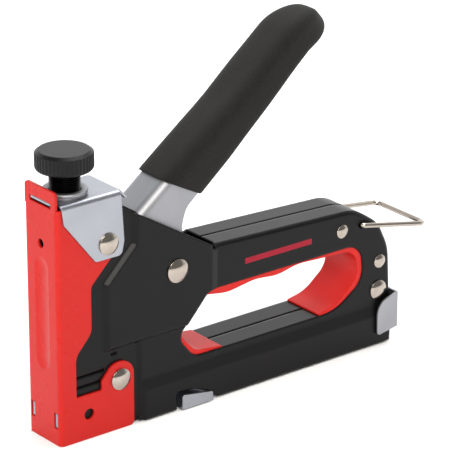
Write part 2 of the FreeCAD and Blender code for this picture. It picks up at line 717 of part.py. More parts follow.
def bracket_rivets():
    """Two short rivets, one each side, that clamp bracket, cap and body sheet together."""
    inner = INNER_STRIP - 0.8
    rivet = cylinder(RIVET_SHANK, (CLAMP_X, inner, CLAMP_Z), (CLAMP_X, BRACKET_HALF, CLAMP_Z))
    rivet = rivet.fuse(dome(CLAMP_X, CLAMP_Z, BRACKET_HALF, BIG_HEAD_R, BIG_HEAD_RISE, 1))
    tail = cylinder(RIVET_SHANK + 1.2, (CLAMP_X, inner, CLAMP_Z), (CLAMP_X, INNER_STRIP, CLAMP_Z))
    return both_sides(rivet.fuse(tail).removeSplitter())


def nose_rivet():
    """Rivet through the ears of the nose cap and both halves."""
    return through_rivet(EAR_X, EAR_Z, CAP_HALF, RIVET_SHANK, BIG_HEAD_R, BIG_HEAD_RISE)


def lever_pivot_pin():
    """The pin that the lever turns on."""
    return through_rivet(PIVOT_X, PIVOT_Z, PLATEAU_HALF, PIVOT_PIN_R, PIVOT_HEAD_R, 2.1)


def rear_handle_rivets():
    """The two small rivets behind the opening."""
    return Part.makeCompound([
        through_rivet(x, z, HANDLE_HALF, RIVET_SHANK, head, 1.3) for x, z, head in rear_rivets()[:2]
    ])


def rear_base_rivet():
    """The large rivet above the magazine latch."""
    x, z, head = rear_rivets()[2]
    return through_rivet(x, z, HANDLE_HALF, RIVET_SHANK, head, 1.8)


def rear_spacers():
    """Tubes on the rear rivets that keep the halves apart."""
    reach = INNER_HANDLE
    return Part.makeCompound([
        tube(RIVET_SHANK + SPACER_WALL, RIVET_SHANK, (x, -reach, z), (x, reach, z))
        for x, z, _ in rear_rivets()
    ])


def pivot_washers():
    """Washers between the lever's flanges and the halves."""
    low = LEVER_HALF + 0.15
    return both_sides(tube(PIVOT_PIN_R + 2.8, PIVOT_PIN_R, (PIVOT_X, low, PIVOT_Z),
                           (PIVOT_X, INNER_PLATEAU, PIVOT_Z)))


def on_lever(along, off):
    """A point in the XZ plane from its distance along the lever and its offset from the pivot."""
    turn = math.radians(LEVER_ANGLE)
    x = PIVOT_X + along * math.cos(turn) - off * math.sin(turn)
    z = PIVOT_Z + along * math.sin(turn) + off * math.cos(turn)
    return x, z


def lever_corners(corners):
    """Lever outline corners, given along and across the lever, placed in the XZ plane."""
    return [(*on_lever(c[0], c[1]), *c[2:]) for c in corners]


def lever_channel(half, top, bend):
    """The lever's folded section, swept along its web; top is measured from the web's outside."""
    start = side()(*on_lever(*WEB_FRONT))
    finish = side()(*on_lever(*WEB_REAR))
    run = (finish - start).normalize()
    rise = FreeCAD.Vector(-run.z, 0, run.x)
    start = start - run * 40.0
    section = [(-half, -90.0), (-half, top, bend), (half, top, bend), (half, -90.0)]
    return prism(section, lambda y, h: start + FreeCAD.Vector(0, y, 0) + rise * h, tuple(run * 220.0))


def lever():
    """Folded steel lever: a channel open below, whose flanges reach down to the pivot."""
    flange = [
        (5.8, 36.0),
        (LEVER_END, 32.0, 5.5),
        (LEVER_END, 22.0, 2.0),
        (60.0, 21.0, 20.0),
        (38.0, 18.6, 6.0),
        (30.5, 15.9, 5.0),
        (21.5, 15.9, 10.0),
        (14.5, 11.0, 10.0),
        (8.8, 0.0, 6.0),
        (6.0, -8.8, 6.0),
        (-8.0, -8.0, 6.0),
        (-9.0, 8.0, 8.0),
        (1.5, 24.0, 6.0),
    ]
    form = slab(lever_corners(flange), -LEVER_HALF - 1, LEVER_HALF + 1)
    form = form.common(lever_channel(LEVER_HALF, 0, LEVER_BEND))
    form = form.cut(lever_channel(LEVER_HALF - LEVER_SHEET, -LEVER_SHEET, LEVER_BEND - LEVER_SHEET))
    form = form.cut(cylinder(PIVOT_PIN_R + RUNNING, (PIVOT_X, -20, PIVOT_Z), (PIVOT_X, 20, PIVOT_Z)))
    x, z = arm_pin_place()
    return form.cut(cylinder(ARM_PIN_R, (x, -20, z), (x, 20, z)))


def arm_pin_place():
    """Where the lift arm is pinned to the lever's flanges."""
    return on_lever(4.0, 14.0)


def lever_grip():
    """Foam sleeve over the lever, cut off at a slant behind the flanges and swollen at its tip."""
    past = 8.0
    outline = [
        (past, 35.9),
        (GRIP_REACH - 59.5, 32.9, 60.0),
        (GRIP_REACH - 21.5, 32.5, 30.0),
        (GRIP_REACH - 7.0, 30.4, 9.0),
        (GRIP_REACH + 0.5, 22.0, 7.0),
        (GRIP_REACH - 4.0, 13.2, 6.3),
        (GRIP_REACH - 13.0, 14.9, 14.0),
        (GRIP_REACH - 20.0, 15.9, 30.0),
        (GRIP_REACH - 36.0, 14.4, 60.0),
        (GRIP_REACH - 60.0, 13.2, 60.0),
        (GRIP_REACH - 83.0, 12.7, 60.0),
        (past, 12.7),
    ]
    sleeve = slab(lever_corners(outline), -GRIP_HALF, GRIP_HALF)
    rims = [e for e in sleeve.Edges if abs(abs(e.BoundBox.YMin) - GRIP_HALF) < 1e-3
            and e.BoundBox.YLength < 1e-4]
    sleeve = sleeve.makeFillet(GRIP_ROUND, rims)
    front = [(-20.0, 60.0), (12.0, 60.0), (22.0, 36.0), (30.2, 15.6), (38.0, -5.0), (-20.0, -5.0)]
    sleeve = sleeve.cut(slab(lever_corners(front), -GRIP_HALF - 1, GRIP_HALF + 1))
    end = LEVER_END + 0.1
    core = [(-10, 40.0), (end, 33.0, 5.5), (end, 21.9, 2.0), (60.0, 20.9), (38.0, 18.5),
            (30.5, 15.8), (-10, 14.2)]
    core = slab(lever_corners(core), -LEVER_HALF - 1, LEVER_HALF + 1)
    return sleeve.cut(core.common(lever_channel(LEVER_HALF, 0, LEVER_BEND)))


def lift_arm():
    """Hardened plate on the lever that lifts the plunger."""
    pin_x, pin_z = arm_pin_place()
    boss = 7.0
    plate = cylinder(boss, (PIVOT_X, -ARM_HALF, PIVOT_Z), (PIVOT_X, ARM_HALF, PIVOT_Z))
    plate = plate.fuse(cylinder(4.5, (pin_x, -ARM_HALF, pin_z), (pin_x, ARM_HALF, pin_z)))
    plate = plate.fuse(cylinder(ARM_TIP_R, (TIP_X, -ARM_HALF, TIP_Z), (TIP_X, ARM_HALF, TIP_Z)))
    turn = math.radians(ARM_DROP)
    lean = (math.sin(turn), math.cos(turn))
    web = [
        (TIP_X + lean[0] * ARM_TIP_R, TIP_Z - lean[1] * ARM_TIP_R),
        (TIP_X - lean[0] * ARM_TIP_R, TIP_Z + lean[1] * ARM_TIP_R),
        (PIVOT_X - lean[0] * boss, PIVOT_Z + lean[1] * boss),
        (PIVOT_X + lean[0] * boss, PIVOT_Z - lean[1] * boss),
    ]
    plate = plate.fuse(slab(web, -ARM_HALF, ARM_HALF))
    neck = [
        (PIVOT_X - 6, PIVOT_Z + 3),
        (pin_x - 4.2, pin_z + 1),
        (pin_x + 4.2, pin_z),
        (PIVOT_X + 6.5, PIVOT_Z),
    ]
    plate = plate.fuse(slab(neck, -ARM_HALF, ARM_HALF)).removeSplitter()
    plate = plate.cut(cylinder(PIVOT_PIN_R + RUNNING, (PIVOT_X, -20, PIVOT_Z), (PIVOT_X, 20, PIVOT_Z)))
    return plate.cut(cylinder(ARM_PIN_R, (pin_x, -20, pin_z), (pin_x, 20, pin_z)))


def arm_pin():
    """Pin that joins the lift arm to the lever's flanges."""
    x, z = arm_pin_place()
    return cylinder(ARM_PIN_R, (x, -LEVER_HALF, z), (x, LEVER_HALF, z))


def arm_spacers():
    """Tubes on the arm pin that keep the lift arm central in the lever."""
    x, z = arm_pin_place()
    return both_sides(tube(ARM_PIN_R + 1.4, ARM_PIN_R, (x, ARM_HALF, z), (x, LEVER_HALF - LEVER_SHEET, z)))


def return_spring():
    """Torsion spring round the pivot pin that opens the lever."""
    wire = 0.5
    turns = 2.5
    pitch = 1.2
    return coil(PIVOT_PIN_R + 1.4, wire, pitch, turns, (PIVOT_X, ARM_HALF + 0.75, PIVOT_Z), (0, 1, 0))


def plunger():
    """Steel block that carries the blade; the lift arm's tip works in its rear slot."""
    rear = TIP_X + 3.2
    outline = [
        (BLADE_X + BLADE_THICK, PLUNGER_BOTTOM, 1.0),
        (rear, PLUNGER_BOTTOM, 1.0),
        (rear, TIP_Z + ARM_TIP_R + 3.6, 1.0),
        (SCREW_X + SPRING_R + SPRING_WIRE + 1.0, PLUNGER_TOP, 0.5),
        (BLADE_X + BLADE_THICK, PLUNGER_TOP, 0.5),
    ]
    form = slab(outline, -PLUNGER_HALF, PLUNGER_HALF)
    play = ARM_TIP_R + 0.4
    end = PIVOT_X - ARM_LENGTH - play - 0.2
    slot = [
        (end, TIP_Z - play, 1.0),
        (TIP_X - 1.5, TIP_Z - play),
        (rear + 1, TIP_Z - play - 2.6),
        (rear + 1, TIP_Z + play + 2.6),
        (TIP_X - 1.5, TIP_Z + play),
        (end, TIP_Z + play, 1.0),
    ]
    form = form.cut(slab(slot, -ARM_HALF - 0.5, ARM_HALF + 0.5))
    pocket = SPRING_R + SPRING_WIRE / 2 + 0.3
    form = form.cut(cylinder(pocket, (SCREW_X, 0, POCKET_FLOOR), (SCREW_X, 0, PLUNGER_TOP + 1)))
    for z in blade_pin_heights():
        form = form.cut(cylinder(BLADE_PIN_R, (BLADE_X, 0, z), (BLADE_X + BLADE_PIN_LENGTH, 0, z)))
    return form


def blade_pin_heights():
    """Heights of the two pins that hold the blade on the plunger."""
    return (PLUNGER_BOTTOM + 3.5, PLUNGER_TOP - 3.5)


def driver_blade():
    """Thin hardened blade that drives a staple out of the nose."""
    blade = block((BLADE_X, -BLADE_HALF, 0.4), (BLADE_X + BLADE_THICK, BLADE_HALF, PLUNGER_TOP))
    for z in blade_pin_heights():
        blade = blade.cut(cylinder(BLADE_PIN_R, (BLADE_X - 1, 0, z), (BLADE_X + 6, 0, z)))
    return blade


def blade_pins():
    """Pins that hold the blade on the plunger."""
    end = BLADE_X + BLADE_PIN_LENGTH
    return Part.makeCompound([
        cylinder(BLADE_PIN_R, (BLADE_X, 0, z), (end, 0, z)) for z in blade_pin_heights()
    ])


def plunger_guides():
    """Plates each side of the plunger."""
    inner = max(PLUNGER_HALF, SCREW_R) + RUNNING
    return both_sides(block((4.0, inner, PLUNGER_BOTTOM + 0.6), (21.0, INNER_STRIP, NOSE_HEIGHT - 6.0)))


def buffer_pad():
    """Rubber pad that stops the plunger."""
    return block((BLADE_X + BLADE_THICK + 0.4, -INNER_STRIP, PLUNGER_BOTTOM - 6.2),
                 (20.0, INNER_STRIP, PLUNGER_BOTTOM - 0.2))


def main_spring():
    """Power spring between the plunger and the spring seat."""
    low = POCKET_FLOOR + 0.05
    rise = SEAT_BOTTOM - low - 0.1
    pitch = (rise - SPRING_WIRE) / SPRING_TURNS
    wire = SPRING_WIRE / 2
    return coil(SPRING_R, wire, pitch, SPRING_TURNS, (SCREW_X, 0, low + wire), (0, 0, 1))


def spring_seat():
    """Disc with a spigot that the adjusting screw presses on the main spring."""
    profile = [
        (0, SEAT_BOTTOM - 5.0),
        (SPRING_R - SPRING_WIRE / 2 - 0.4, SEAT_BOTTOM - 5.0, 0.8),
        (SPRING_R - SPRING_WIRE / 2 - 0.4, SEAT_BOTTOM),
        (SPRING_R + SPRING_WIRE, SEAT_BOTTOM, 0.3),
        (SPRING_R + SPRING_WIRE, SEAT_BOTTOM + SEAT_THICK, 0.3),
        (0, SEAT_BOTTOM + SEAT_THICK),
    ]
    return turned(profile, SCREW_X)


def staple_channel():
    """Inverted channel that holds the staples, with a folded lug through each side of the base."""
    outer = CHANNEL_INNER + CHANNEL_SHEET
    front = BLADE_X + BLADE_THICK + 0.3
    form = block((front, -outer, BASE_LIFT), (BASE_LENGTH - 6.0, outer, CHANNEL_TOP))
    hollow = block((front - 1, -CHANNEL_INNER, 0),
                   (BASE_LENGTH, CHANNEL_INNER, CHANNEL_TOP - CHANNEL_SHEET))
    form = form.cut(hollow)
    start = NOTCH_START + 2.2
    run = NOTCH_LENGTH - 6.0
    for out in (-1, 1):
        lug = [
            (start, 0.4),
            (start, BASE_LIFT + 6.4, 1.2),
            (start + run, BASE_LIFT + 3.8, 1.2),
            (start + run, 0.4),
        ]
        faces = sorted((out * (BASE_HALF + 0.3), out * (BASE_HALF + 0.3 + CHANNEL_SHEET)))
        form = form.fuse(slab(lug, *faces))
        foot = sorted((out * (outer - 0.2), out * (BASE_HALF + 0.3 + CHANNEL_SHEET / 2)))
        form = form.fuse(block((start, foot[0], 0.4), (start + run, foot[1], 0.4 + CHANNEL_SHEET)))
    return form.removeSplitter()


def pusher_rail():
    """Folded rail inside the staple channel, pulled out with the latch to load."""
    front = PUSHER_FRONT + 3.0
    form = block((front, -RAIL_HALF, RAIL_BOTTOM), (LATCH_REAR, RAIL_HALF, RAIL_BOTTOM + RAIL_HEIGHT))
    inner = RAIL_HALF - RAIL_SHEET
    return form.cut(block((front + 1.2, -inner, RAIL_BOTTOM - 1),
                          (LATCH_REAR - 1.2, inner, RAIL_BOTTOM + RAIL_HEIGHT - RAIL_SHEET)))


def spring_rod():
    """Thin rod inside the rail that the pusher spring runs on."""
    z = RAIL_BOTTOM + RAIL_HEIGHT / 2 - 0.6
    return cylinder(0.9, (PUSHER_FRONT + 4.2, 0, z), (LATCH_REAR - 1.2, 0, z))


def pusher():
    """Block that straddles the rail and pushes the row of staples to the nose."""
    half = CHANNEL_INNER - 0.3
    gap = 0.08
    top = CHANNEL_TOP - CHANNEL_SHEET - 0.3
    start = PUSHER_FRONT
    form = block((start, -half, RAIL_BOTTOM - 0.3), (start + PUSHER_LENGTH, half, top))
    form = form.cut(block((start - 1, -RAIL_HALF - gap, 0),
                          (start + PUSHER_LENGTH + 1, RAIL_HALF + gap, RAIL_BOTTOM + RAIL_HEIGHT + gap)))
    return form


def rear_latch():
    """Folded plate at the rear that holds the rail in and is pinched to pull it out."""
    inner = LATCH_HALF - LATCH_SHEET
    flap = [
        (BASE_LENGTH - 9.7, 5.2, 1.4),
        (BASE_LENGTH - 9.7, 20.6, 8.0),
        (LATCH_REAR, 23.8),
        (LATCH_REAR, 7.2),
    ]
    form = slab(flap, -LATCH_HALF, -inner).fuse(slab(flap, inner, LATCH_HALF))
    form = form.fuse(block((LATCH_REAR, -LATCH_HALF, 7.2), (LATCH_REAR + LATCH_SHEET, LATCH_HALF, 23.8)))
    form = form.removeSplitter()
    folds = [e for e in form.Edges if e.BoundBox.XMin > LATCH_REAR + LATCH_SHEET - 1e-3
             and e.BoundBox.ZLength > 5 and abs(abs(e.BoundBox.YMin) - LATCH_HALF) < 1e-3]
    return form.makeFillet(LATCH_SHEET * 0.9, folds)


def pusher_spring():
    """Long light spring behind the pusher, on the rod inside the rail."""
    start = PUSHER_FRONT + PUSHER_LENGTH
    end = LATCH_REAR - 2.0
    turns = 34
    wire = 0.3
    z = RAIL_BOTTOM + RAIL_HEIGHT / 2 - 0.6
    return coil(1.7, wire, (end - start) / turns, turns, (start + wire, 0, z), (1, 0, 0))


def bail_wire():
    """Wire bail that hooks over the closed grip; its ends turn into the holes in the handle."""
    turn = math.radians(BAIL_SLOPE)
    hip = HANDLE_HALF + WIRE_R + 0.4
    far_x = BAIL_X + BAIL_LENGTH * math.cos(turn)
    far_z = BAIL_Z - BAIL_LENGTH * math.sin(turn)
    points = [
        (BAIL_X, -INNER_HANDLE + 1.0, BAIL_Z),
        (BAIL_X, -hip, BAIL_Z),
        (far_x, -BAIL_SPREAD, far_z),
        (far_x, BAIL_SPREAD, far_z),
        (BAIL_X, hip, BAIL_Z),
        (BAIL_X, INNER_HANDLE - 1.0, BAIL_Z),
    ]
    return wire_rod(points, WIRE_R, (EYE_BEND, CORNER_BEND, CORNER_BEND, EYE_BEND))


def stamped_pair():
    """Both stamped halves, the right one and its mirror image."""
    half = stamped_half()
    twin = half.mirror(FreeCAD.Vector(0, 0, 0), FreeCAD.Vector(0, 1, 0))
    return {"shell_right": half, "shell_left": twin}


def build():
    """Every node of the staple gun by name."""
    nodes = stamped_pair()
    for maker in (nose_cap, front_guide_plate, top_bracket, collar_nut, adjusting_screw, knob,
                  bracket_rivets, nose_rivet, lever_pivot_pin, rear_handle_rivets, rear_base_rivet,
                  rear_spacers, pivot_washers, handle_liner, front_liner, lever, lever_grip,
                  lift_arm, arm_pin, arm_spacers, return_spring, plunger, driver_blade, blade_pins,
                  plunger_guides, buffer_pad, main_spring, spring_seat, staple_channel,
                  pusher_rail, spring_rod, pusher, rear_latch, pusher_spring, bail_wire):
        nodes[maker.__name__] = maker()
    return nodes


os.makedirs("parts", exist_ok=True)
for name, shape in build().items():
    shape.exportStep("parts/" + name + ".step")
    print(name, "valid" if shape.isValid() else "NOT VALID", len(shape.Solids), round(shape.Volume, 1))
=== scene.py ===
import bpy
import json
import math
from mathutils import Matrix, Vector


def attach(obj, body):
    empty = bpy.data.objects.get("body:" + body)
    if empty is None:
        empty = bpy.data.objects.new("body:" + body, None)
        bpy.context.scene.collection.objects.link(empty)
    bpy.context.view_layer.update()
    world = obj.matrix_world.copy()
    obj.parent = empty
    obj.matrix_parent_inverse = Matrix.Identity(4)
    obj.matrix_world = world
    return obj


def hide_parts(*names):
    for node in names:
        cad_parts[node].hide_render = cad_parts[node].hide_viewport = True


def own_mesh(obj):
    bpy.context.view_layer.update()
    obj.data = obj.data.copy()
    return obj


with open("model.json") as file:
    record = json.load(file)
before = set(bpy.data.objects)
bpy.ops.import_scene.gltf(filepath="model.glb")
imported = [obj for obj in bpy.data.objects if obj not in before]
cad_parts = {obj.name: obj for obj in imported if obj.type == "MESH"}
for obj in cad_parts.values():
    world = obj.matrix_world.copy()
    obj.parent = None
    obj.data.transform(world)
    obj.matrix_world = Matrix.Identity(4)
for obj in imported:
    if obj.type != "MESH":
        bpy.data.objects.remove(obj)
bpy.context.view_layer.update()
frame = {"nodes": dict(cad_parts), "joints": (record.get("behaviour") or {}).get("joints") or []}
nodes = frame["nodes"]
print("frame loaded:", len(nodes), "nodes")

mm = 0.001


def linear(hexText):    # sRGB hex to a linear colour
    parts = [int(hexText[i:i + 2], 16) / 255 for i in (1, 3, 5)]
    return [p / 12.92 if p <= 0.04045 else ((p + 0.055) / 1.055) ** 2.4 for p in parts] + [1.0]


def perMetre(sizeMm):    # texture scale whose features are this many mm across
    return 1000.0 / sizeMm


def addNode(tree, kind, inputs=None, links=None, **settings):    # a node with its settings and links
    node = tree.nodes.new(kind)
    for name, value in settings.items():
        setattr(node, name, value)
    for key, value in (inputs or {}).items():
        node.inputs[key].default_value = value
    for key, source in (links or {}).items():
        tree.links.new(source, node.inputs[key])
    return node


def startMaterial(name):    # an empty material and its node tree
    material = bpy.data.materials.new(name)
    material.use_nodes = True
    material.node_tree.nodes.clear()
    return material, material.node_tree


def smooth(low, high, x):    # eases from 0 at low to 1 at high
    t = min(max((x - low) / (high - low), 0.0), 1.0)
    return t * t * (3 - 2 * t)


def meshObject(name, verts, faces):
    mesh = bpy.data.meshes.new(name)
    mesh.from_pydata(verts, [], faces)
    mesh.validate()
    mesh.update()
    piece = bpy.data.objects.new(name, mesh)
    bpy.context.scene.collection.objects.link(piece)
    for face in mesh.polygons:
        face.use_smooth = True
    return piece


def dress(nodeName, material):    # gives a CAD node its finish
    piece = nodes[nodeName]
    piece.data.materials.clear()
    piece.data.materials.append(material)


# camera, light and floor

cameraSet = {
    "azimuth": -38.26,    # degrees, from in front of the nose on the tool's left
    "elevation": 21.66,
    "lens": 247.2,
    "sensor": 36.0,
    "place": (-669.25, -970.90, 564.12),    # mm
}


def makeCamera(c):
    data = bpy.data.cameras.new("camera")
    data.lens = c["lens"]
    data.sensor_width = c["sensor"]
    camera = bpy.data.objects.new("camera", data)
    bpy.context.scene.collection.objects.link(camera)
    camera.location = Vector(c["place"]) * mm
    camera.rotation_euler = (math.radians(90 - c["elevation"]), 0, math.radians(c["azimuth"]))
    bpy.context.scene.camera = camera


studioSet = {
    "open": "#ffffff",    # bright backdrop behind the tool
    "openStrength": 1.5,
    "roomStrength": 0.30,    # darker room on the camera's side
    "ceilingStrength": 0.25,
    "backdrop": (0.619, 0.785, 0.0),    # way the camera looks, level
    "key": {"place": (-0.40, -0.86, 0.90), "size": 0.70, "watts": 15.0, "colour": "#fffaf2"},
    "left": {"place": (-1.20, -0.05, 0.55), "size": 0.80, "watts": 9.0, "colour": "#ffffff"},
    "top": {"place": (0.55, 0.10, 1.50), "size": 1.10, "watts": 20.0, "colour": "#fbfcff"},
    "aim": (0.08, 0.0, 0.07),    # m, the middle of the tool
    "roomEdge": (-0.15, 0.45),    # from the room's side to the backdrop
    "ceilingEdge": (0.55, 0.85),    # from the walls to the ceiling
    "floorHalf": 3.0,    # m
    "floorDrop": 0.0002,    # keeps the floor clear of the tool's base
}

floorSet = {
    "cloud": 2.0,    # patches of slightly different white in each metre
    "deep": "#f3f3f4",
    "pale": "#fafafa",
    "roughness": 0.9,
    "specular": 0.1,
}


def makeLight(name, spec, aim):
    data = bpy.data.lights.new(name, "AREA")
    data.shape = "SQUARE"
    data.size = spec["size"]
    data.energy = spec["watts"]
    data.color = linear(spec["colour"])[:3]
    lamp = bpy.data.objects.new(name, data)
    bpy.context.scene.collection.objects.link(lamp)
    lamp.location = spec["place"]
    lamp.rotation_euler = (Vector(aim) - Vector(spec["place"])).to_track_quat("-Z", "Y").to_euler()


def makeWorld(s):
    world = bpy.data.worlds.new("studio")
    bpy.context.scene.world = world
    world.use_nodes = True
    tree = world.node_tree
    tree.nodes.clear()
    way = addNode(tree, "ShaderNodeTexCoord").outputs["Generated"]
    ahead = addNode(tree, "ShaderNodeVectorMath", {1: s["backdrop"]}, {0: way}, operation="DOT_PRODUCT")
    level = addNode(tree, "ShaderNodeMapRange", {"From Min": s["roomEdge"][0], "From Max": s["roomEdge"][1],
                    "To Min": s["roomStrength"], "To Max": s["openStrength"]},
                    {"Value": ahead.outputs["Value"]}, interpolation_type="SMOOTHSTEP")
    parts = addNode(tree, "ShaderNodeSeparateXYZ", links={"Vector": way})
    roof = addNode(tree, "ShaderNodeMapRange", {"From Min": s["ceilingEdge"][0],
                   "From Max": s["ceilingEdge"][1], "To Min": 1.0, "To Max": s["ceilingStrength"]},
                   {"Value": parts.outputs["Z"]}, interpolation_type="SMOOTHSTEP")
    strength = addNode(tree, "ShaderNodeMath", links={0: level.outputs["Result"], 1: roof.outputs["Result"]},
                       operation="MULTIPLY")
    sky = addNode(tree, "ShaderNodeBackground", {"Color": linear(s["open"])},
                  {"Strength": strength.outputs["Value"]})
    addNode(tree, "ShaderNodeOutputWorld", links={"Surface": sky.outputs["Background"]})


def makeStage(s):
    makeWorld(s)
    for name in ("key", "left", "top"):
        makeLight(name, s[name], s["aim"])
    half = s["floorHalf"]
    floor = meshObject("floor", [(-half, -half, 0), (half, -half, 0), (half, half, 0), (-half, half, 0)],
                       [(0, 1, 2, 3)])
    floor.location.z = -s["floorDrop"]
    floor.data.materials.append(paleFloor(floorSet))
    bpy.context.scene.view_settings.view_transform = "Standard"


def paleFloor(f):    # matt white paper that only takes a soft shadow
    material, tree = startMaterial("pale studio floor")
    coords = addNode(tree, "ShaderNodeTexCoord")
    cloud = addNode(tree, "ShaderNodeTexNoise", {"Scale": f["cloud"]}, {"Vector": coords.outputs["Object"]})
    tint = addNode(tree, "ShaderNodeValToRGB", links={"Fac": cloud.outputs["Fac"]})
    tint.color_ramp.elements[0].color = linear(f["deep"])
    tint.color_ramp.elements[1].color = linear(f["pale"])
    shader = addNode(tree, "ShaderNodeBsdfPrincipled", {"Roughness": f["roughness"],
                     "Specular IOR Level": f["specular"]}, {"Base Color": tint.outputs["Color"]})
    addNode(tree, "ShaderNodeOutputMaterial", links={"Surface": shader.outputs["BSDF"]})
    return material


makeCamera(cameraSet)
makeStage(studioSet)
print("camera and studio set")


# the finishes and the paint that carries the printed bar

stripePrint = {    # one plain red bar on each side of the handle
    "middle": (117.2, 59.3),    # mm along and up
    "half": (18.6, 1.3),
    "ink": "#8e1226",
}

shared = {    # what the makers of materials share, in mm where it is a size
    "bevelSamples": 8,
    "peelDeep": 0.05,
    "markDeep": 0.03,
    "grainDeep": 0.08,
    "poreDeep": 0.15,
    "sprayDrift": 24.0,    # how far apart the paint turns from deep to pale
    "mouldDrift": 11.0,
}


def printOver(tree, coords, paint, p):    # screen-printed bar over the paint
    place = addNode(tree, "ShaderNodeSeparateXYZ", links={"Vector": coords})
    hits = []
    for axis, middle, half in (("X", p["middle"][0], p["half"][0]), ("Z", p["middle"][1], p["half"][1])):
        hits.append(addNode(tree, "ShaderNodeMath", {1: middle * mm, 2: half * mm},
                            {0: place.outputs[axis]}, operation="COMPARE").outputs["Value"])
    inside = addNode(tree, "ShaderNodeMath", links={0: hits[0], 1: hits[1]}, operation="MULTIPLY")
    mixed = addNode(tree, "ShaderNodeMix", links={0: inside.outputs["Value"], 6: paint}, data_type="RGBA")
    mixed.inputs[7].default_value = linear(p["ink"])
    return mixed.outputs[2]


# sprayed enamel on pressed sheet: it rounds the edges and gives a faint orange peel and an even gloss
def paintedSteel(name, spec):
    material, tree = startMaterial(name)
    coords = addNode(tree, "ShaderNodeTexCoord").outputs["Object"]
    rounded = addNode(tree, "ShaderNodeBevel", {"Radius": spec["edgeMm"] * mm},
                      samples=shared["bevelSamples"])
    peel = addNode(tree, "ShaderNodeTexNoise", {"Scale": perMetre(spec["peelMm"]), "Detail": 3.0},
                   {"Vector": coords})
    surface = addNode(tree, "ShaderNodeBump", {"Strength": spec["peelStrength"],
                      "Distance": shared["peelDeep"] * mm},
                      {"Height": peel.outputs["Fac"], "Normal": rounded.outputs["Normal"]})
    drift = addNode(tree, "ShaderNodeTexNoise", {"Scale": perMetre(shared["sprayDrift"]), "Detail": 4.0},
                    {"Vector": coords})
    tint = addNode(tree, "ShaderNodeValToRGB", links={"Fac": drift.outputs["Fac"]})
    tint.color_ramp.interpolation = "EASE"
    tint.color_ramp.elements[0].color = linear(spec["deep"])
    tint.color_ramp.elements[1].color = linear(spec["pale"])
    gloss = addNode(tree, "ShaderNodeMapRange", {"To Min": spec["roughness"] - 0.04,
                    "To Max": spec["roughness"] + 0.05}, {"Value": drift.outputs["Fac"]})
    colour = tint.outputs["Color"]
    if "print" in spec:
        colour = printOver(tree, coords, colour, spec["print"])
    shader = addNode(tree, "ShaderNodeBsdfPrincipled", {"Specular IOR Level": spec["specular"]},
                     {"Base Color": colour, "Roughness": gloss.outputs["Result"],
                      "Normal": surface.outputs["Normal"]})
    addNode(tree, "ShaderNodeOutputMaterial", links={"Surface": shader.outputs["BSDF"]})
    return material


# zinc, nickel or bare steel: a metal with faint rolling or polishing marks that blur what it mirrors
def platedSteel(name, spec):
    material, tree = startMaterial(name)
    coords = addNode(tree, "ShaderNodeTexCoord").outputs["Object"]
    rounded = addNode(tree, "ShaderNodeBevel", {"Radius": spec["edgeMm"] * mm},
                      samples=shared["bevelSamples"])
    stretch = addNode(tree, "ShaderNodeMapping", {"Scale": spec["grain"]}, {"Vector": coords})
    marks = addNode(tree, "ShaderNodeTexNoise", {"Scale": perMetre(spec["marksMm"]), "Detail": 5.0},
                    {"Vector": stretch.outputs["Vector"]})
    blotch = addNode(tree, "ShaderNodeTexNoise", {"Scale": perMetre(spec["blotchMm"]), "Detail": 3.0},
                     {"Vector": coords})
    surface = addNode(tree, "ShaderNodeBump", {"Strength": spec["markStrength"],
                      "Distance": shared["markDeep"] * mm},
                      {"Height": marks.outputs["Fac"], "Normal": rounded.outputs["Normal"]})
    tint = addNode(tree, "ShaderNodeValToRGB", links={"Fac": blotch.outputs["Fac"]})
    tint.color_ramp.elements[0].position = 0.35
    tint.color_ramp.elements[1].position = 0.65
    tint.color_ramp.elements[0].color = linear(spec["deep"])
    tint.color_ramp.elements[1].color = linear(spec["pale"])
    gloss = addNode(tree, "ShaderNodeMapRange", {"To Min": spec["roughness"] - spec["roughDrift"],
                    "To Max": spec["roughness"] + spec["roughDrift"]}, {"Value": blotch.outputs["Fac"]})
    shader = addNode(tree, "ShaderNodeBsdfPrincipled", {"Metallic": 1.0},
                     {"Base Color": tint.outputs["Color"], "Roughness": gloss.outputs["Result"],
                      "Normal": surface.outputs["Normal"]})
    addNode(tree, "ShaderNodeOutputMaterial", links={"Surface": shader.outputs["BSDF"]})
    return material


# spark-eroded mould grain that breaks up and dulls the shine
def mouldedPlastic(name, spec):
    material, tree = startMaterial(name)
    coords = addNode(tree, "ShaderNodeTexCoord").outputs["Object"]
    rounded = addNode(tree, "ShaderNodeBevel", {"Radius": spec["edgeMm"] * mm},
                      samples=shared["bevelSamples"])
    grain = addNode(tree, "ShaderNodeTexNoise", {"Scale": perMetre(spec["grainMm"]), "Detail": 4.0,
                    "Roughness": 0.65}, {"Vector": coords})
    surface = addNode(tree, "ShaderNodeBump", {"Strength": spec["grainStrength"],
                      "Distance": shared["grainDeep"] * mm},
                      {"Height": grain.outputs["Fac"], "Normal": rounded.outputs["Normal"]})
    drift = addNode(tree, "ShaderNodeTexNoise", {"Scale": perMetre(shared["mouldDrift"]), "Detail": 3.0},
                    {"Vector": coords})
    tint = addNode(tree, "ShaderNodeValToRGB", links={"Fac": drift.outputs["Fac"]})
    tint.color_ramp.elements[0].color = linear(spec["deep"])
    tint.color_ramp.elements[1].color = linear(spec["pale"])
    gloss = addNode(tree, "ShaderNodeMapRange", {"To Min": spec["roughness"] - 0.06,
                    "To Max": spec["roughness"] + 0.06}, {"Value": grain.outputs["Fac"]})
    shader = addNode(tree, "ShaderNodeBsdfPrincipled", {"Specular IOR Level": spec["specular"]},
                     {"Base Color": tint.outputs["Color"], "Roughness": gloss.outputs["Result"],
                      "Normal": surface.outputs["Normal"]})
    addNode(tree, "ShaderNodeOutputMaterial", links={"Surface": shader.outputs["BSDF"]})
    return material


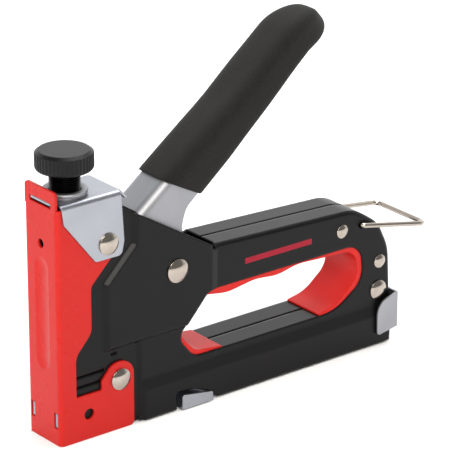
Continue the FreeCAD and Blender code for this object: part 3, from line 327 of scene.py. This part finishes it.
# closed-cell nitrile foam: matt, warm dark grey, with pores drawn coarser than real so that they show
def foamRubber(name, spec):
    material, tree = startMaterial(name)
    coords = addNode(tree, "ShaderNodeTexCoord").outputs["Object"]
    pores = addNode(tree, "ShaderNodeTexVoronoi", {"Scale": perMetre(spec["poreMm"]), "Randomness": 1.0},
                    {"Vector": coords})
    dust = addNode(tree, "ShaderNodeTexNoise", {"Scale": perMetre(spec["poreMm"] * 1.6), "Detail": 5.0,
                   "Roughness": 0.7}, {"Vector": coords})
    height = addNode(tree, "ShaderNodeMath", links={0: pores.outputs["Distance"], 1: dust.outputs["Fac"]},
                     operation="ADD")
    surface = addNode(tree, "ShaderNodeBump", {"Strength": spec["poreStrength"],
                      "Distance": shared["poreDeep"] * mm},
                      {"Height": height.outputs["Value"]})
    tint = addNode(tree, "ShaderNodeValToRGB", links={"Fac": dust.outputs["Fac"]})
    tint.color_ramp.elements[0].position = 0.35
    tint.color_ramp.elements[1].position = 0.68
    tint.color_ramp.elements[0].color = linear(spec["deep"])
    tint.color_ramp.elements[1].color = linear(spec["pale"])
    shader = addNode(tree, "ShaderNodeBsdfPrincipled", {"Roughness": 0.9, "Specular IOR Level": 0.2,
                     "Sheen Weight": 0.06, "Sheen Roughness": 0.6},
                     {"Base Color": tint.outputs["Color"], "Normal": surface.outputs["Normal"]})
    addNode(tree, "ShaderNodeOutputMaterial", links={"Surface": shader.outputs["BSDF"]})
    return material


# thick glossy black that runs soft light along the pressed edges
blackEnamel = paintedSteel("black enamel sprayed on pressed steel", {
    "deep": "#0b0b0c", "pale": "#0e0e0f", "roughness": 0.30, "specular": 0.15,
    "edgeMm": 1.4, "peelMm": 0.9, "peelStrength": 0.05, "print": stripePrint})
# full red with a wide soft shine on the flat front
redEnamel = paintedSteel("red enamel sprayed on pressed steel", {
    "deep": "#b01a15", "pale": "#b51c16", "roughness": 0.27, "specular": 0.17,
    "edgeMm": 0.55, "peelMm": 1.1, "peelStrength": 0.06})
# pale grey and softly bright, with no clear mirror image
zincPlate = platedSteel("bright zinc plate on sheet steel", {
    "deep": "#999ca3", "pale": "#9fa2a9", "roughness": 0.36, "roughDrift": 0.03, "edgeMm": 0.3,
    "grain": (1.0, 1.0, 1.0), "marksMm": 0.6, "blotchMm": 16.0, "markStrength": 0.12})
# light grey that spreads highlights wide
satinNickel = platedSteel("satin nickel plate on folded steel", {
    "deep": "#96979b", "pale": "#9d9ea2", "roughness": 0.50, "roughDrift": 0.03, "edgeMm": 0.6,
    "grain": (1.0, 1.0, 1.0), "marksMm": 0.6, "blotchMm": 18.0, "markStrength": 0.10})
# small sharp mirror spots on rivet heads and wire
brightNickel = platedSteel("bright nickel plate, barrel polished", {
    "deep": "#a39a90", "pale": "#ada49a", "roughness": 0.13, "roughDrift": 0.03, "edgeMm": 0.15,
    "grain": (1.0, 1.0, 1.0), "marksMm": 1.5, "blotchMm": 3.0, "markStrength": 0.05})
# darker grey with fine marks along the tool
groundSteel = platedSteel("hardened steel, ground", {
    "deep": "#7d7e82", "pale": "#8b8c90", "roughness": 0.32, "roughDrift": 0.06, "edgeMm": 0.15,
    "grain": (0.1, 1.0, 1.0), "marksMm": 0.4, "blotchMm": 5.0, "markStrength": 0.25})
# thin bright lines along the wire
drawnWire = platedSteel("spring steel, drawn wire", {
    "deep": "#85868b", "pale": "#929397", "roughness": 0.28, "roughDrift": 0.05, "edgeMm": 0.1,
    "grain": (1.0, 1.0, 1.0), "marksMm": 0.5, "blotchMm": 4.0, "markStrength": 0.15})
# near black with a small oily shine
blackOxide = platedSteel("black oxide on turned steel", {
    "deep": "#0a0a0b", "pale": "#111112", "roughness": 0.30, "roughDrift": 0.05, "edgeMm": 0.1,
    "grain": (1.0, 1.0, 1.0), "marksMm": 0.6, "blotchMm": 4.0, "markStrength": 0.1})
# black with a short dull shine on each edge
blackNylon = mouldedPlastic("black nylon, moulded", {
    "deep": "#0a0a0b", "pale": "#0e0e0f", "roughness": 0.34, "specular": 0.17,
    "edgeMm": 0.3, "grainMm": 0.35, "grainStrength": 0.12})
# red with a broken, duller shine than the paint
redNylon = mouldedPlastic("red nylon, moulded with spark grain", {
    "deep": "#b8140e", "pale": "#c21a12", "roughness": 0.40, "specular": 0.22,
    "edgeMm": 0.8, "grainMm": 0.5, "grainStrength": 0.35})
# flat near black with almost no shine
bufferRubber = mouldedPlastic("nitrile rubber, pressed", {
    "deep": "#141414", "pale": "#1b1b1b", "roughness": 0.7, "specular": 0.3,
    "edgeMm": 0.3, "grainMm": 0.5, "grainStrength": 0.3})
# dull and soft, with a little light caught at its rim
gripFoam = foamRubber("nitrile foam, extruded sleeve", {
    "deep": "#080807", "pale": "#161513", "poreMm": 0.55, "poreStrength": 0.75})

# the foam sleeve, drawn ring by ring along the lever

gripSet = {
    "angle": 39.5,    # degrees the lever stands up from level
    "frontTop": (21.9, 35.0),    # mm along the lever and off the pivot line
    "frontBottom": (31.2, 12.8),
    "tip": 125.2,    # mm along the lever from its pivot
    "tipRun": 23.0,    # length over which the end closes
    "tipPower": 2.8,    # how blunt the end is
    "tipRoot": 0.357,
    "tipSink": 3.2,    # the middle line sinks by this much towards the tip
    "tipSinkRun": (106, 126),
    "back": 32.3,    # mm off the pivot line
    "backTaper": 0.05,    # rise in each mm ahead of the next value
    "backTaperEnd": 68.0,
    "belly": 13.1,
    "bellyRise": 2.9,
    "bellyRiseRun": (45, 112),
    "bellyDip": 0.5,
    "bellyDipRun": (108, 116),
    "halfWidth": 12.1,
    "squareness": 4.4,
    "stations": 60,
    "crowding": 1.5,    # above 1 the rings stand closer near the tip
    "around": 56,
    "wall": 2.2,
    "boreDepth": 12.0,    # how far the open front is hollow
    "boreStep": 0.6,
    "boreFlare": 0.03,
    "rimShare": 0.975,    # size of the front edge as a share of the sleeve
    "rimRun": 0.35,
    "rimLean": 0.99,
    "leanRun": 45.0,    # length over which the slant of the front cut dies out
    "lump": 0.18,    # height of the slow waves in the foam
    "lumpWaves": (0.11, 0.047),    # radians in each mm
    "lumpTurn": 2.0,
    "lumpStart": 1.3,
}


def gripPoint(s, turn, g):    # a point on the sleeve: distance along, angle round from the back
    high = g["back"] + g["backTaper"] * max(0.0, g["backTaperEnd"] - s)
    low = g["belly"] + g["bellyRise"] * smooth(*g["bellyRiseRun"], s)
    low -= g["bellyDip"] * smooth(*g["bellyDipRun"], s)
    run = min(max((s - g["tip"] + g["tipRun"]) / g["tipRun"], 0.0), 1.0)
    close = (1.0 - run ** g["tipPower"]) ** g["tipRoot"]
    middle = (high + low) / 2 - g["tipSink"] * smooth(*g["tipSinkRun"], s)
    up, over = math.cos(turn), math.sin(turn)
    reach = (abs(up) ** g["squareness"] + abs(over) ** g["squareness"]) ** (-1.0 / g["squareness"])
    return g["halfWidth"] * over * reach * close, middle, (high - low) / 2 * up * reach * close


def makeGrip(g):
    pivot = Vector(next(j["pos_m"] for j in frame["joints"] if j["name"] == "lever_pivot"))
    tilt = math.radians(g["angle"])
    along = Vector((math.cos(tilt), 0, math.sin(tilt)))
    off = Vector((-math.sin(tilt), 0, math.cos(tilt)))
    slope = (g["frontBottom"][0] - g["frontTop"][0]) / (g["frontTop"][1] - g["frontBottom"][1])
    verts, faces = [], []

    def ring(s, fade, scale=1.0):    # one loop of points; fade leans it towards the slanted front cut
        start = len(verts)
        for k in range(g["around"]):
            turn = 2 * math.pi * k / g["around"]
            y, middle, rise = gripPoint(s, turn, g)
            wave = g["lump"] * math.sin(g["lumpWaves"][0] * s + g["lumpTurn"] * turn)
            wave *= math.sin(g["lumpWaves"][1] * s + g["lumpStart"]) * (1 - fade)
            h = middle + (rise + wave * math.cos(turn)) * scale
            lean = (g["frontTop"][1] - h) * slope * fade
            spot = pivot + (along * (s + lean) + off * h) * mm
            verts.append((spot.x, (y + wave * math.sin(turn)) * scale * mm, spot.z))
        return start

    def join(a, b):
        for k in range(g["around"]):
            n = (k + 1) % g["around"]
            faces.append((a + k, a + n, b + n, b + k))

    front = g["frontTop"][0]
    inner = 1.0 - g["wall"] / g["halfWidth"]
    rim = front + g["rimRun"]
    rings = [ring(front + g["boreDepth"], 1.0, inner), ring(front + g["boreStep"], 1.0, inner)]
    rings += [ring(front, 1.0, inner + g["boreFlare"]), ring(front, 1.0, g["rimShare"])]
    rings.append(ring(rim, g["rimLean"]))
    for i in range(1, g["stations"]):
        t = i / g["stations"]
        s = rim + (g["tip"] - rim) * (1 - (1 - t) ** g["crowding"])
        rings.append(ring(s, 1.0 - smooth(front, front + g["leanRun"], s)))
    for a, b in zip(rings, rings[1:]):
        join(a, b)
    faces.append(tuple(rings[0] + k for k in range(g["around"])))
    faces.append(tuple(rings[-1] + k for k in reversed(range(g["around"]))))
    grip = meshObject("foam_sleeve", verts, faces)
    soften = grip.modifiers.new("soften", "SUBSURF")
    soften.levels = soften.render_levels = 1
    grip.data.materials.append(gripFoam)
    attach(grip, "lever")
    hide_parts("lever_grip")


makeGrip(gripSet)
print("foam grip made")

# two springs, each a coil of drawn wire

coilMesh = {"steps": 20, "rim": 8}    # steps in each turn, and points round the wire

# places and lengths in mm; "fixed" is where along the spring it stays put, as a share of its length,
# and "keep" is the share of its length left at the joint's longer limit
springSet = {
    "pusher_spring": {"start": (20.3, 0.0, 9.0), "along": (1, 0, 0), "length": 161.0, "coil": 1.7,
                      "wire": 0.3, "turns": 34, "body": "magazine", "joint": "pusher_slide",
                      "fixed": 1.0, "keep": 0.38},
    "main_spring": {"start": (12.6, 0.0, 47.45), "along": (0, 0, 1), "length": 46.0, "coil": 4.6,
                    "wire": 0.85, "turns": 8, "body": "body", "joint": "plunger_lift",
                    "fixed": 1.02, "keep": 0.43},
}


def makeSpring(name, s):    # a drawn wire coil swept as a tube of quads
    along = Vector(s["along"])
    side = Vector((0, 1, 0))
    over = along.cross(side)
    steps = coilMesh["steps"] * s["turns"]
    rim = coilMesh["rim"]
    verts, faces = [], []
    for i in range(steps + 1):
        turn = 2 * math.pi * s["turns"] * i / steps
        out = side * math.cos(turn) + over * math.sin(turn)
        middle = Vector(s["start"]) + along * (s["length"] * i / steps) + out * s["coil"]
        for k in range(rim):
            a = 2 * math.pi * k / rim
            verts.append((middle + (out * math.cos(a) + along * math.sin(a)) * s["wire"]) * mm)
    for i in range(steps):
        for k in range(rim):
            a, b = i * rim + k, i * rim + (k + 1) % rim
            faces.append((a, b, b + rim, a + rim))
    faces.append(tuple(reversed(range(rim))))
    faces.append(tuple(steps * rim + k for k in range(rim)))
    spring = meshObject(name + "_coil", verts, faces)
    spring.data.materials.append(drawnWire)
    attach(spring, s["body"])
    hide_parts(name)
    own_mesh(spring)


for name, spec in springSet.items():
    makeSpring(name, spec)
print("springs made")

finishes = {
    "shell_left": blackEnamel, "shell_right": blackEnamel, "nose_cap": redEnamel,
    "front_guide_plate": zincPlate, "top_bracket": zincPlate, "collar_nut": satinNickel,
    "adjusting_screw": blackOxide, "knob": blackNylon, "bracket_rivets": brightNickel,
    "nose_rivet": brightNickel, "lever_pivot_pin": brightNickel, "rear_handle_rivets": brightNickel,
    "rear_base_rivet": brightNickel, "rear_spacers": groundSteel, "pivot_washers": groundSteel,
    "handle_liner": redNylon, "front_liner": redNylon, "lever": satinNickel, "lever_grip": gripFoam,
    "lift_arm": groundSteel, "arm_pin": groundSteel, "arm_spacers": groundSteel,
    "return_spring": drawnWire, "plunger": groundSteel, "driver_blade": groundSteel,
    "blade_pins": groundSteel, "plunger_guides": groundSteel, "buffer_pad": bufferRubber,
    "main_spring": drawnWire, "spring_seat": groundSteel, "staple_channel": zincPlate,
    "pusher_rail": zincPlate, "spring_rod": groundSteel, "pusher": groundSteel,
    "rear_latch": satinNickel, "pusher_spring": drawnWire, "bail_wire": brightNickel,
}
for nodeName, finish in finishes.items():
    dress(nodeName, finish)
print("finishes applied")
